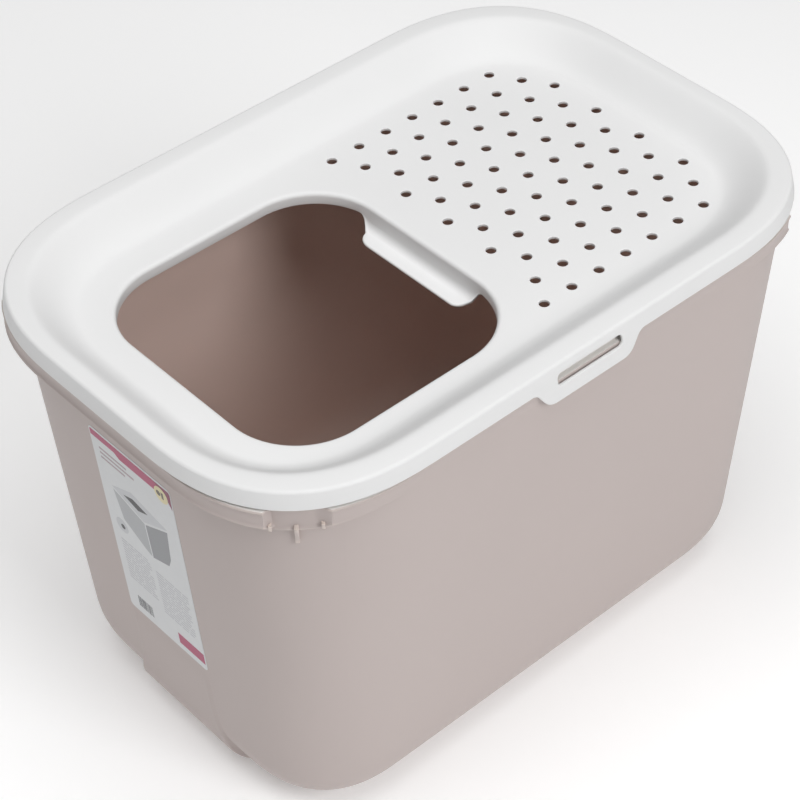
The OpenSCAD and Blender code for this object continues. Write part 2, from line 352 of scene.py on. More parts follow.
def ramp(nodes, links, value, start, end, low=0, high=1):
    """A value that goes from low to high while another goes from start to end."""
    ramp_node = nodes.new("ShaderNodeMapRange")
    for name, number in (("From Min", start), ("From Max", end), ("To Min", low), ("To Max", high)):
        ramp_node.inputs[name].default_value = number
    links.new(value, ramp_node.inputs["Value"])
    return ramp_node.outputs["Result"]


def colour_over(material, factor, colour, blend="MIX"):
    """Lay a colour over the base colour, as far as the factor says."""
    nodes, links = material.node_tree.nodes, material.node_tree.links
    base = nodes["Principled BSDF"].inputs["Base Color"]
    layer = nodes.new("ShaderNodeMix")
    layer.data_type = "RGBA"
    layer.blend_type = blend
    layer.inputs["A"].default_value = base.default_value
    layer.inputs["B"].default_value = (*colour, 1)
    links.new(factor, layer.inputs["Factor"])
    if base.links:
        links.new(base.links[0].from_socket, layer.inputs["A"])
    links.new(layer.outputs["Result"], base)


def moulded_plastic(name, dark, light, roughness=0.42, grain=0.05, mottle=9, specular=0.42):
    """Moulded polypropylene: soft mottling, a fine spark-eroded grain and a slight flow waviness."""
    material, nodes, links = new_material(name)
    shader = nodes["Principled BSDF"]
    cloud = noise(nodes, links, mottle, 4)
    socket(shader, "Base Color", (*dark, 1))
    colour_over(material, cloud, light)
    gloss = ramp(nodes, links, cloud, 0, 1, roughness - 0.05, roughness + 0.07)
    links.new(gloss, shader.inputs["Roughness"])
    bump = nodes.new("ShaderNodeBump")
    bump.inputs["Strength"].default_value = grain
    bump.inputs["Distance"].default_value = GRAIN_DEPTH
    links.new(noise(nodes, links, GRAIN_SCALE, 2), bump.inputs["Height"])
    links.new(bump.outputs["Normal"], shader.inputs["Normal"])
    socket(shader, "Specular IOR Level", specular)
    socket(shader, "IOR", POLYPROPYLENE_IOR)
    return material


def painted_inside_glow(material, centre_z, tint):
    """Painted light: the faces that look inward get a warmer, brighter colour, for daylight that the thin
    walls let through.
    """
    nodes, links = material.node_tree.nodes, material.node_tree.links
    place = nodes.new("ShaderNodeTexCoord")
    away = nodes.new("ShaderNodeVectorMath")
    away.operation = "SUBTRACT"
    away.inputs[1].default_value = (0, 0, centre_z)
    links.new(place.outputs["Object"], away.inputs[0])
    outward = nodes.new("ShaderNodeVectorMath")
    outward.operation = "DOT_PRODUCT"
    links.new(away.outputs["Vector"], outward.inputs[0])
    links.new(place.outputs["Normal"], outward.inputs[1])
    colour_over(material, ramp(nodes, links, outward.outputs["Value"], *INWARD), tint, "MULTIPLY")


def painted_edge_glow(material, colour, amount):
    """Painted highlight: thin convex edges of the translucent plastic are coloured lighter, as if they
    caught the light.
    """
    nodes, links = material.node_tree.nodes, material.node_tree.links
    shape = nodes.new("ShaderNodeNewGeometry")
    colour_over(material, ramp(nodes, links, shape.outputs["Pointiness"], *THIN_EDGE, 0, amount), colour)


def painted_neck_glow(material, low_z, colour, amount):
    """Painted light: the thin neck above the ledge is coloured paler, as if it glowed in the light that the
    lid lets through.
    """
    nodes, links = material.node_tree.nodes, material.node_tree.links
    place = nodes.new("ShaderNodeTexCoord")
    height = nodes.new("ShaderNodeSeparateXYZ")
    links.new(place.outputs["Object"], height.inputs["Vector"])
    glow = ramp(nodes, links, height.outputs["Z"], low_z, low_z + PAINTED_NECK_FADE, 0, amount)
    colour_over(material, glow, colour)


WHITE = moulded_plastic("lid_white", (0.80, 0.80, 0.80), (0.835, 0.835, 0.835),
                        roughness=0.58, specular=0.3)
TAUPE = moulded_plastic("tub_taupe", (0.535, 0.464, 0.444), (0.565, 0.492, 0.47),
                        roughness=0.52, specular=0.35)
# Painted light: the inside of the tub is coloured warmer and brighter, as if lit through its thin walls.
painted_inside_glow(TAUPE, 0.36, (1.34, 1.22, 1.15))
# Painted highlight: a lighter colour on the tub's thin edges.
painted_edge_glow(TAUPE, (0.80, 0.70, 0.62), 0.75)
# Painted light: the neck above the ledge is coloured paler, as if lit through the lid.
painted_neck_glow(TAUPE, (LEDGE_Z - 0.6) * METRE, (0.84, 0.82, 0.79), 0.85)
PIN_GREY = moulded_plastic("pin_grey", (0.34, 0.29, 0.275), (0.40, 0.34, 0.325),
                           roughness=0.38, mottle=60)


# ---------------------------------------------------------------- lid

LID_STEPS = 22
NOTCH_EDGE = 3 * (LID_STEPS + 1)
SLOPE_WIDTH = 33
SLOPE_STEPS = 18
SLOPE_OVERRUN = 1.14
COLLAR_WIDTH = 2.5
TAB_SPAN = (TAB_LOW.x, TAB_HIGH.x)
TAB_TOP_Z = TAB_HIGH.z + 1.2


def lid_outline(spec, z):
    """One level ring of the lid, with a vertex at each end of the front tab."""
    corner = [(*corner_xy(spec, 90 * i / LID_STEPS), z) for i in range(LID_STEPS + 1)]
    ring = []
    for quadrant in range(4):
        ring.extend(turned(corner, quadrant))
        if quadrant == 2:
            ring.extend(Vector((x, -spec[1], z)) for x in TAB_SPAN)
    return ring


def skirt_inset(z):
    """How far the skirt's outer face lies inside its lower edge, at a height."""
    return SKIRT_DRAFT * (z - SKIRT_Z) / (CROWN_Z - SKIRT_Z)


def slope_spec(t):
    return mix_spec(FLOOR, CREST, t)


def slope_share(t):
    """How far up the slope is at a share of its width: hollow below, rounded at the crest."""
    return 1 + 0.5 * SLOPE_POWER * (t - 1) if t > 1 else (t ** SLOPE_POWER + smooth(t)) / 2


def slope_z(t):
    """The slope's height at a share of its width."""
    rise = CROWN_Z - DISH_Z
    return DISH_Z if t == 0 else DISH_Z + soft_min((rise - 0.4) * slope_share(t), rise, 1.2)


def hole_places():
    """The centres of the holes: staggered rows, the first and last moved towards the entry instead."""
    places = []
    for row in range(FIELD_ROWS):
        stagger = 0 if row % 2 else 0.5
        shift = -0.5 if row in (0, FIELD_ROWS - 1) else stagger
        for column in range(FIELD_COLUMNS):
            places.append((FIELD_X + (column - (FIELD_COLUMNS - 1) / 2 + shift) * HOLE_PITCH[0],
                           (row - (FIELD_ROWS - 1) / 2) * HOLE_PITCH[1]))
    return places


def entry_loop():
    """The entry's outline, clockwise, so that its left side is away from the opening."""
    half_x, half_y = ENTRY_SIZE[0] / 2, ENTRY_SIZE[1] / 2
    straight = half_y - ENTRY_RADIUS
    arc = corner_arc(half_x, half_y, ENTRY_RADIUS, 30)
    loop = [p for quadrant in range(4) for p in turned(arc, quadrant)]
    loop += [Vector((half_x, mix(-straight, straight, i / 80))) for i in range(1, 80)]
    return [Vector((p.x + ENTRY_CENTRE[0], p.y + ENTRY_CENTRE[1])) for p in loop][::-1]


def edge_section(bend_z, turn, tail):
    """The section of the entry's turned edge, as (outward, height): a fold, a wall and a lip."""
    half = LID_WALL / 2
    fold = [(ENTRY_FOLD * (1 - math.sin(a)), DISH_Z - ENTRY_FOLD * (1 - math.cos(a)))
            for a in (math.pi / 2 * i / 6 for i in range(7))]
    line = [(half - LIP_BEND * (1 - math.cos(a)), bend_z - LIP_BEND * math.sin(a), a)
            for a in (turn * i / 8 for i in range(9))]
    tip = (line[-1][0] - tail * math.sin(turn), line[-1][1] - tail * math.cos(turn))
    line.append((*tip, turn))
    near = [(d - half * math.cos(a), z + half * math.sin(a)) for d, z, a in line]
    far = [(d + half * math.cos(a), z - half * math.sin(a)) for d, z, a in line]
    cap = []
    for i in range(1, 6):
        along, side = half * math.sin(math.pi * i / 6), -half * math.cos(math.pi * i / 6)
        cap.append((tip[0] - along * math.sin(turn) + side * math.cos(turn),
                    tip[1] - along * math.cos(turn) - side * math.sin(turn)))
    under = [(LID_WALL, DISH_Z - ENTRY_FOLD), (LID_WALL + 0.5, DISH_Z - LID_WALL - 0.35),
             (LID_WALL + 1.4, DISH_Z - LID_WALL)]
    return fold + near + cap + far[::-1] + under


def lip_share(y):
    """0 away from the step lip and 1 along it, with a smooth change at each end."""
    low, high = LIP_SPREAD
    return smooth((y - LIP_LOW_Y + low) / low) * smooth((LIP_HIGH_Y + high - y) / high)


def lip_tail(y):
    """How far the lip reaches past its bend, with rounded ends."""
    low = min(1.0, max(0.0, (y - LIP_LOW_Y) / LIP_END_ROUND[0]))
    high = min(1.0, max(0.0, (LIP_HIGH_Y - y) / LIP_END_ROUND[1]))
    return (LIP_REACH - LIP_BEND) * math.sqrt(1 - (1 - low) ** 2) * math.sqrt(1 - (1 - high) ** 2)


def entry_rings(loop):
    """The rings of the turned edge, from the fold on top round to its underside."""
    side_x = ENTRY_CENTRE[0] + ENTRY_SIZE[0] / 2 - 12
    columns = []
    for here, out in zip(loop, offset_loop(loop, 1)):
        normal = (out - here).normalized()
        on_side = smooth((here.x - side_x) / 9)
        share = lip_share(here.y) * on_side
        bend_z = mix(DISH_Z - ENTRY_DEPTH + LID_WALL / 2, LIP_Z + LIP_BEND, share)
        section = edge_section(bend_z, LIP_TURN * share, lip_tail(here.y) * on_side * share)
        columns.append([Vector((*(here + normal * d), z)) for d, z in section])
    return [list(ring) for ring in zip(*columns)]


def crown_profile():
    """The crown's outer round, as (inset, height) from its top down to the skirt."""
    tilt = math.atan2(SKIRT_DRAFT, CROWN_Z - SKIRT_Z)
    end = math.pi / 2 - tilt
    foot_z = CROWN_Z - CROWN_ROUND * (1 - math.cos(end))
    top_inset = skirt_inset(foot_z) + CROWN_ROUND * math.sin(end)
    return [(top_inset - CROWN_ROUND * math.sin(a), CROWN_Z - CROWN_ROUND * (1 - math.cos(a)))
            for a in (end * i / 6 for i in range(7))]


def skirt_profile():
    """The skirt below the top of the front tab: its face, its rounded lower edge and its inside."""
    top_z, low_z = TAB_TOP_Z, SKIRT_Z + EDGE_ROUND
    turn = [(EDGE_ROUND * (1 - math.cos(a)), low_z - EDGE_ROUND * math.sin(a))
            for a in (math.pi / 6, math.pi / 3, math.pi / 2)]
    face = [(skirt_inset(top_z), top_z), (skirt_inset(low_z), low_z)] + turn
    back = [(LID_WALL - inset, z) for inset, z in turn[::-1]]
    back += [(LID_WALL + skirt_inset(z), z) for z in (low_z, top_z)]
    return face + back


def lid_skirt(shell):
    """The crown's outer round and the skirt, open where the tab goes. Returns the end rows."""
    outer, notched = crown_profile(), skirt_profile()
    top_z = CROWN_Z - LID_WALL
    inner = [(LID_WALL + skirt_inset(top_z - 1.5), top_z - 1.5),
             (LID_WALL + skirt_inset(top_z) + 0.4, top_z - 0.4),
             (LID_WALL + skirt_inset(top_z) + 1.5, top_z)]
    rows = [shell.add(lid_outline(grow((HALF_L, HALF_W, CORNER), -inset), z))
            for inset, z in outer + notched + inner]
    first, last = len(outer), len(outer) + len(notched) - 1
    for k, (low, high) in enumerate(zip(rows, rows[1:])):
        shell.strip(low, high, skip=(NOTCH_EDGE,) if first <= k < last else ())
    face, back = rows[first], rows[last]
    shell.faces.append((face[NOTCH_EDGE], face[NOTCH_EDGE + 1], back[NOTCH_EDGE + 1], back[NOTCH_EDGE]))
    for side in (0, 1):
        shell.faces.append(tuple(row[NOTCH_EDGE + side] for row in rows[first:last + 1]))
    return rows[0], rows[-1]


def lid_slope(shell, crown_row, under_row):
    """The concave slope from the crown down to the dish floor, and its underside."""
    shares = [SLOPE_OVERRUN * i / SLOPE_STEPS for i in range(SLOPE_STEPS + 1)]
    top = shell.loft([lid_outline(slope_spec(t), slope_z(t)) for t in shares])
    shell.strip(top[-1], crown_row)
    under = []
    for t in shares:
        step = 0.01
        rise = slope_z(t + step) - slope_z(max(0, t - step))
        steep = math.atan2(rise, 2 * step * SLOPE_WIDTH) if t < 0.98 else 0
        out = LID_WALL * math.sin(steep) if t > 0 else 0
        under.append(lid_outline(grow(slope_spec(t), out), slope_z(t) - LID_WALL * math.cos(steep)))
    rows = shell.loft(under)
    shell.strip(rows[-1], under_row)
    return top[0], rows[0]


def lid_holes(shell, places):
    """Each hole's collar, rounded edge, wall and lower edge. Returns the collars."""
    profile = [(1.1, 0), (0.5, 0), (0.25, -0.07), (0.07, -0.25), (0, -0.5), (0, 0.35 - LID_WALL),
               (0.12, 0.1 - LID_WALL), (0.4, -LID_WALL), (1.1, -LID_WALL)]
    for place in places:
        shell.loft([[(p.x, p.y, DISH_Z + z) for p in circle(place, HOLE_R + grown)]
                    for grown, z in profile])
    return [circle(place, HOLE_R + profile[0][0]) for place in places]


def at_height(loop, z):
    return [Vector((p[0], p[1], z)) for p in loop]


def build_lid():
    shell = Shell()
    under_z = DISH_Z - LID_WALL
    crown_row, under_row = lid_skirt(shell)
    floor_row, _ = lid_slope(shell, crown_row, under_row)
    collars = lid_holes(shell, hole_places())
    loop = entry_loop()
    collar = offset_loop(loop, ENTRY_FOLD + COLLAR_WIDTH)
    shell.loft([at_height(collar, DISH_Z)] + entry_rings(loop) + [at_height(collar, under_z)])
    outer = [shell.points[i] for i in floor_row]
    support = lid_outline(grow(FLOOR, -2), DISH_Z)
    for z in (DISH_Z, under_z):
        shell.loft([at_height(outer, z), at_height(support, z)])
        shell.plate(support, [collar] + collars, lambda p, level=z: (p.x, p.y, level))
    lid = shell.piece("lid_moulding", WHITE)
    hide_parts("lid")
    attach(lid, "lid")


# ---------------------------------------------------------------- front tab

TAB_X = (TAB_LOW.x + TAB_HIGH.x) / 2
TAB_LOW_Z = CROWN_Z - 31.6
TAB_HALF_LOW = 41
TAB_HALF_HIGH = 52.5
TAB_LEAN = 0.13
TAB_BAND = 1.6
SLOT_Z = CROWN_Z - 13.9
SLOT_SHIFT = 1.2
SLOT_HALF = (32.5, 5.1)
SLOT_ROUND = 4


def tab_face_y(z):
    """The outer face of the skirt and tab at a height, as a distance from the middle."""
    if z >= SKIRT_Z:
        return HALF_W - skirt_inset(z)
    return HALF_W + TAB_LEAN * (SKIRT_Z - z)


def tab_path():
    """The free lower edge of the tab, from its left flare to its right one."""
    left = [(TAB_X - TAB_HIGH.x, SKIRT_Z), (-TAB_HALF_HIGH, SKIRT_Z), (-TAB_HALF_LOW, TAB_LOW_Z)]
    right = [(-x, z) for x, z in left[::-1]]
    path = fillet_path(left + right, (9, 14, 14, 9), 10)
    return [Vector((p.x + TAB_X, p.y)) for p in path]


def slot_loop(grown):
    """The slot's outline, grown by a distance."""
    arc = corner_arc(SLOT_HALF[0] + grown, SLOT_HALF[1] + grown, SLOT_ROUND + grown, 9)
    loop = [p for quadrant in range(4) for p in turned(arc, quadrant)]
    return [Vector((p.x + TAB_X + SLOT_SHIFT, p.y + SLOT_Z)) for p in loop]


def tab_place(point, depth):
    """A point of the tab, from its x and height and its depth below the outer face."""
    return (point[0], depth - tab_face_y(point[1]), point[1])


def tab_edge(free, grown):
    """The free edge moved inward, with its ends kept on the sides of the tab."""
    moved = offset_loop(free, grown, closed=False)
    moved[0].x, moved[-1].x = free[0].x, free[-1].x
    return moved


def tab_grid(free, outer):
    """Points inside the tab's faces, which keep its triangles small and even."""
    rows, columns, margin = 9, 30, 1.2
    near, hole = offset_loop(outer, margin), slot_loop(TAB_BAND + margin)
    points = [Vector((mix(free[0].x, free[-1].x, column / columns), mix(TAB_LOW_Z, TAB_TOP_Z, row / rows)))
              for row in range(1, rows) for column in range(1, columns)]
    return [p for p in points if inside(p, near) and not inside(p, hole)]


def build_tab():
    """The strap below the skirt, with its slot, flush with the skirt's outer face."""
    shell = Shell()
    free = tab_path()
    section = [(EDGE_ROUND * (1 - math.sin(a)), EDGE_ROUND * (1 - math.cos(a)))
               for a in (0, math.pi / 6, math.pi / 3, math.pi / 2)]
    section = [(TAB_BAND, 0)] + section
    section += [(grown, LID_WALL - depth) for grown, depth in section[::-1]]
    rows = shell.loft([[tab_place(p, depth) for p in tab_edge(free, grown)] for grown, depth in section],
                      closed=False)
    tops = shell.add(tab_place((p.x, TAB_TOP_Z), depth)
                     for p in (free[0], free[-1]) for depth in (LID_WALL, 0))
    shell.faces.append(tuple([row[0] for row in rows] + tops[:2]))
    shell.faces.append(tuple([row[-1] for row in rows] + tops[2:]))
    shell.faces.append((tops[0], tops[1], tops[3], tops[2]))
    shell.loft([[tab_place(p, depth) for p in slot_loop(grown)] for grown, depth in section])
    outer = tab_edge(free, TAB_BAND) + [Vector((p.x, TAB_TOP_Z)) for p in (free[-1], free[0])]
    grid = tab_grid(free, outer)
    for depth in (0, LID_WALL):
        shell.plate(outer, [slot_loop(TAB_BAND)], lambda p, d=depth: tab_place(p, d), grid)
    tab = shell.piece("front_tab_strap", WHITE)
    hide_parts("front_tab")
    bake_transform(tab)


# ---------------------------------------------------------------- tub

FILLET_STEPS = 12
# The flat pad on each end wall: half its width at the floor and at its top, and its soft foot.
PAD_TOP_Z = 118
PAD_HALF = (66, 47)
PAD_FILLET = 42
PAD_PROUD = 1.1
PAD_RISE = 12
PAD_FLARE_Z = 80
PAD_SOFT = 0.34
PAD_SOFT_Z = (56, 6)
# The recess in each corner of the flange, with its sides as distances along it from its centre.
POCKET_CENTRE = Vector((HALF_L - 41, HALF_W - 28))
POCKET_TURN = math.radians(39)
POCKET_TANGENT = Vector((math.cos(POCKET_TURN), -math.sin(POCKET_TURN)))
POCKET_NORMAL = Vector((math.sin(POCKET_TURN), math.cos(POCKET_TURN)))
POCKET_DEPTH = 6.2
POCKET_OUTER = (23.5, -23.5)
POCKET_INNER = (17.5, -15)
POCKET_DROP = 6
RIM_ROUND = 0.5
BEAD = 1.1
# The flange runs into the long wall between two corner angles, over a height below the ledge.
DRAW_ANGLES = (50, 86)
DRAW_HEIGHT = 9
FLUSH = 0.35
# The channel behind the flange is as deep as this where the gap to the wall has its full width.
CHANNEL = 12
CHANNEL_GAP = (1.5, 4.5)
WALL_LEVELS = (FLANGE_Z - 0.8, FLANGE_Z - 8, 330, 280, 230, 190, 160, 140, 126,
               PAD_TOP_Z, 115, 112, 108, 98, 88, 76, 66, 60)
# A pocket's ribs, as (outward, height) points from the foot of its panel.
MIDDLE_RIB = [(-13, -15.5), (-9.2, -15), (-7.6, -13.2), (-8.4, -10.5), (-7, -3), (-3.6, 3.5),
              (-POCKET_DEPTH - 1, 5), (-13, 1)]
END_RIB = [(-12.5, -4.5), (-9.8, -3.2), (-4.4, 5), (-4.4, 7), (-12.5, 7)]


def wall_spec(z):
    """The outline of the tub's outer wall at a height."""
    return mix_spec(WALL_FOOT, WALL_TOP, z / FLANGE_Z)


def pad_half(z):
    """Half the width of an end pad at a height: narrow at its top, flaring towards the floor."""
    return mix(PAD_HALF[0], PAD_HALF[1], smooth(0.5 + 0.5 * z / PAD_FLARE_Z) * 2 - 1)


def pad_x(z):
    """The flat pad's distance from the middle, with its own small fillet at the floor."""
    line = wall_spec(max(z, PAD_FILLET))[0] + PAD_PROUD * smooth((PAD_TOP_Z - z) / PAD_RISE)
    if z >= PAD_FILLET:
        return line
    return line - PAD_FILLET * (1 - math.sqrt(max(0.0, 1 - (1 - z / PAD_FILLET) ** 2)))


def pad_share(column, z):
    """1 on the pad and 0 beside it; the change is crisp above and soft at the foot."""
    if column.wall != "end":
        return 0.0
    soft = PAD_SOFT * smooth((PAD_SOFT_Z[0] - z) / (PAD_SOFT_Z[0] - PAD_SOFT_Z[1]))
    return smooth((1.03 + soft - column.value) / (0.06 + soft))


def corner_angle(spec, along):
    """The corner angle at which an outline reaches a distance along the pocket."""
    low, high = 0.0, 90.0
    for _ in range(40):
        middle = (low + high) / 2
        if (Vector(corner_xy(spec, middle)) - POCKET_CENTRE).dot(POCKET_TANGENT) > along:
            low = middle
        else:
            high = middle
    return low


class Column:
    """One vertical line of the tub's mesh, in the +X +Y quadrant."""

    def __init__(self, wall, value, in_pocket=False, channel=1.0):
        self.wall = wall
        self.value = value
        self.in_pocket = in_pocket
        self.channel = channel

    def at(self, spec, z):
        """The column's x and y on an outline."""
        half_x, half_y, reach = spec
        if self.wall == "end":
            edge, straight = pad_half(z), half_y - reach
            share = self.value
            return half_x, share * edge if share <= 1 else mix(edge, straight, share - 1)
        if self.wall == "side":
            return self.value * (half_x - reach), half_y
        return corner_xy(spec, self.value)


def tub_columns():
    """The columns of one quadrant, from the middle of the end wall to the middle of the long wall."""
    across = (0, 0.4, 0.8, 0.93, 0.97, 1.03, 1.08, 1.14, 1.22, 1.32, 1.45, 1.7)
    end = [Column("end", share) for share in across]
    panel = grow(LEDGE, -POCKET_DEPTH)
    outer = [corner_angle(LEDGE, along) for along in POCKET_OUTER]
    inner = [corner_angle(panel, along) for along in POCKET_INNER]
    corner = [Column("corner", angle) for angle in (90 * i / 20 for i in range(21))
              if angle < outer[0] - 4 or angle > outer[1] + 4]
    for side, angle in zip((-1, 1), outer):
        corner += [Column("corner", angle + side * away, channel=min(1, away / 3)) for away in (3, 0.7, 0)]
    corner += [Column("corner", mix(*inner, i / 8), in_pocket=True, channel=0) for i in range(9)]
    return (end + sorted(corner, key=lambda column: column.value)
            + [Column("side", share) for share in (0.8, 0.55, 0.3, 0)])


def rim_levels():
    """The rim's outside, downward: height, outline, and whether it is on the flange."""
    return [(RIM_TOP_Z, grow(NECK, -RIM_ROUND), False),
            (RIM_TOP_Z - RIM_ROUND, NECK, False),
            (LEDGE_Z + 1.2, NECK, False),
            (LEDGE_Z + 0.3, grow(NECK, 0.3), False),
            (LEDGE_Z, grow(NECK, 1.2), False),
            (LEDGE_Z, grow(LEDGE, -1.8), True),
            (LEDGE_Z - 0.25, grow(LEDGE, -0.9), True),
            (LEDGE_Z - 0.9, grow(LEDGE, -0.25), True),
            (LEDGE_Z - 1.8, LEDGE, True),
            (LEDGE_Z - 2.6, grow(LEDGE, -0.5), True),
            (LEDGE_Z - 3.4, grow(LEDGE, -BEAD), True),
            (FLANGE_Z + 3.2, grow(LEDGE, -BEAD), True),
            (FLANGE_Z + 2.2, grow(LEDGE, -0.4), True),
            (FLANGE_Z + 1.6, LEDGE, True),
            (FLANGE_Z + 0.7, LEDGE, True),
            (FLANGE_Z + 0.1, grow(LEDGE, -0.3), True),
            (FLANGE_Z, grow(LEDGE, -0.8), True),
            (FLANGE_Z, grow(LEDGE, -FLANGE_WALL), True)]


def side_share(column):
    """How far the flange is drawn in to the wall: 0 at the ends and corners, 1 on the long walls."""
    if column.wall == "corner":
        return smooth((column.value - DRAW_ANGLES[0]) / (DRAW_ANGLES[1] - DRAW_ANGLES[0]))
    return 1.0 if column.wall == "side" else 0.0


def drawn_in(column, spec, z):
    """The flange's outline where it runs into the long wall."""
    wall = wall_spec(z)
    share = smooth((z - LEDGE_Z + DRAW_HEIGHT) / DRAW_HEIGHT)
    flush = wall[1] + FLUSH + (LEDGE[1] - FLUSH - wall[1]) * share
    return spec[0], mix(spec[1], min(spec[1], flush), side_share(column)), spec[2]


def rim_line(column):
    """The points of one column on the outside of the rim and the flange."""
    line = []
    for z, spec, on_flange in rim_levels():
        if on_flange and column.in_pocket:
            spec = grow(spec, -POCKET_DEPTH)
            z -= POCKET_DROP if z < FLANGE_Z + 5 else 0
        elif on_flange:
            spec = drawn_in(column, spec, z)
        line.append(Vector((*column.at(spec, z), z)))
    return line


def outside_line(column):
    """The points of one column on the outside, from the rim's top to the floor."""
    line = rim_line(column)
    flange_foot = line[-1]
    foot_z = flange_foot.z
    gap = (flange_foot - Vector((*column.at(wall_spec(foot_z), foot_z), foot_z))).length
    narrow, wide = CHANNEL_GAP
    depth = CHANNEL * smooth((gap - narrow) / (wide - narrow)) * column.channel
    line.append(flange_foot + Vector((0, 0, depth)))
    line.append(Vector((*column.at(wall_spec(foot_z + depth), foot_z), foot_z + depth)))
    levels = [(min(z, foot_z - 0.8), 0) for z in WALL_LEVELS]
    for i in range(FILLET_STEPS + 1):
        angle = math.pi / 2 * i / FILLET_STEPS
        levels.append((BASE_FILLET * (1 - math.sin(angle)), BASE_FILLET * (1 - math.cos(angle))))
    for z, inset in levels:
        x, y = column.at(grow(wall_spec(z), -inset), z)
        line.append(Vector((mix(x, pad_x(z), pad_share(column, z)), y, z)))
    return line


def base_line(column):
    """The points of one column under the base, from the foot's edge to the recess."""
    foot = grow(wall_spec(0), -BASE_FILLET)
    steps = ((-9, 0), (-9.6, 0.2), (-10.4, BASE_RECESS - 0.2), (-11, BASE_RECESS))
    return [Vector((*column.at(grow(foot, inset), 0), z)) for inset, z in steps]


def inside_line(column):
    """The points of one column on the inside, from the rim's top to the base."""
    neck = grow(NECK, -TUB_WALL)
    levels = [(RIM_TOP_Z, grow(neck, RIM_ROUND)), (RIM_TOP_Z - RIM_ROUND, neck), (LEDGE_Z - 1, neck)]
    for i in range(1, 6):
        z = LEDGE_Z - 1 - 7 * i / 5
        levels.append((z, mix_spec(neck, grow(wall_spec(z), -TUB_WALL), smooth(i / 5))))
    levels += [(z, grow(wall_spec(z), -TUB_WALL)) for z in (FLANGE_Z - 4, 320, 260, 200, 150, 110, 80)]
    radius = BASE_FILLET - TUB_WALL
    for i in range(FILLET_STEPS + 1):
        angle = math.pi / 2 * i / FILLET_STEPS
        z = TUB_WALL + radius * (1 - math.sin(angle))
        levels.append((z, grow(wall_spec(z), -TUB_WALL - radius * (1 - math.cos(angle)))))
    return [Vector((*column.at(spec, z), z)) for z, spec in levels]


def around(lines):
    """Level rings right round, from the columns of one quadrant."""
    return [[p for quadrant in range(4) for p in turned(level, quadrant)] for level in zip(*lines)]


def rib(shell, quadrant, along, width, profile):
    """A small rib with rounded edges, across a corner pocket."""
    round_off, half = 0.35, width / 2
    loop = [Vector((out, FLANGE_Z - POCKET_DROP + z)) for out, z in profile]
    tight = offset_loop(loop, round_off)
    rings = []
    for t, shape in ((-half, tight), (round_off - half, loop), (half - round_off, loop), (half, tight)):
        ring = [(*(POCKET_CENTRE + POCKET_TANGENT * (along + t) + POCKET_NORMAL * p.x), p.y) for p in shape]
        rings.append(turned(ring, quadrant))
    rows = shell.loft(rings)
    shell.faces.append(tuple(rows[0]))
    shell.faces.append(tuple(rows[-1]))


def build_tub():
    columns = tub_columns()
    shell = Shell()
    outside = around([outside_line(c) for c in columns])
    below = around([base_line(c) for c in columns])
    within = around([inside_line(c) for c in columns])
    shell.loft(within[::-1] + outside + below)
    shell.plate(below[-1], [], lambda p: (p.x, p.y, BASE_RECESS))
    shell.plate(within[-1], [], lambda p: (p.x, p.y, TUB_WALL))
    for quadrant in range(4):
        rib(shell, quadrant, sum(POCKET_INNER) / 2, 3.2, MIDDLE_RIB)
        rib(shell, quadrant, POCKET_INNER[0] + 1.8, 2.6, END_RIB)
        rib(shell, quadrant, POCKET_INNER[1] - 2.2, 2.6, END_RIB)
    tub = shell.piece("tub_moulding", TAUPE)
    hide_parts("tub")
    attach(tub, "tub")


# ---------------------------------------------------------------- hinges

AXIS = Vector(frame["joints"][0]["pos_m"]) / METRE
BARREL_R = box_mm("lid_hinge_left")[1].y - AXIS.y
PIN_R = 2.5
BORE_GAP = 0.06
EAR = 6
EAR_OVERLAP = 0.8
BRACKET_ARC = (-78, 62)
SHOULDER = 3.2


def extruded(shell, loop, x_low, x_high, bore=None, round_off=0.5):
    """A bar along X with an outline of (y, z) points, rounded rims and a chamfered bore."""
    stops = [(0, round_off), (round_off * 0.3, round_off * 0.3), (round_off, 0)]
    places = [(x_low + along, inset) for along, inset in stops]
    places += [(x_high - along, inset) for along, inset in stops[::-1]]
    shell.loft([[(x, p.x, p.y) for p in offset_loop(loop, inset)] for x, inset in places])
    holes = []
    if bore:
        rings = [(x, bore[1] + inset * 0.7) for x, inset in places]
        shell.loft([[(x, p.x, p.y) for p in circle(bore[0], radius, 32)] for x, radius in rings])
        holes = [circle(bore[0], rings[0][1], 32)]
    cap = offset_loop(loop, round_off)
    for x in (x_low, x_high):
        shell.plate(cap, holes, lambda p, at=x: (at, p.x, p.y))


def tangent_angle(point, outer):
    """Where a line from a point touches the barrel: its angle round the axis, in degrees."""
    away = Vector((point[0] - AXIS.y, point[1] - AXIS.z))
    swing = math.acos(BARREL_R / away.length)
    return math.degrees(math.atan2(away.y, away.x) + (-swing if outer else swing))


def build_lid_hinge(side, name):
    """The knuckle and its sloping arm, moulded on the lid's skirt."""
    low, high = box_mm(name)
    axis = (AXIS.y, AXIS.z)
    shoulder = (HALF_W + SHOULDER, high.z)
    root = (AXIS.y - BARREL_R, SKIRT_Z + 1)
    first, last = tangent_angle(shoulder, True), tangent_angle(root, False)
    barrel = arc_points(axis, BARREL_R, first, last - 360, 30)
    upper = fillet_path([(low.y, high.z), shoulder, barrel[0]], (3,), 6)
    lower = fillet_path([barrel[-1], root, (low.y, root[1])], (1.2,), 5)
    shell = Shell()
    extruded(shell, (upper[:-1] + barrel + lower[1:])[::-1], low.x, high.x, (axis, PIN_R + BORE_GAP))
    piece = shell.piece("lid_knuckle_" + side, WHITE)
    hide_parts(name)
    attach(piece, "lid")


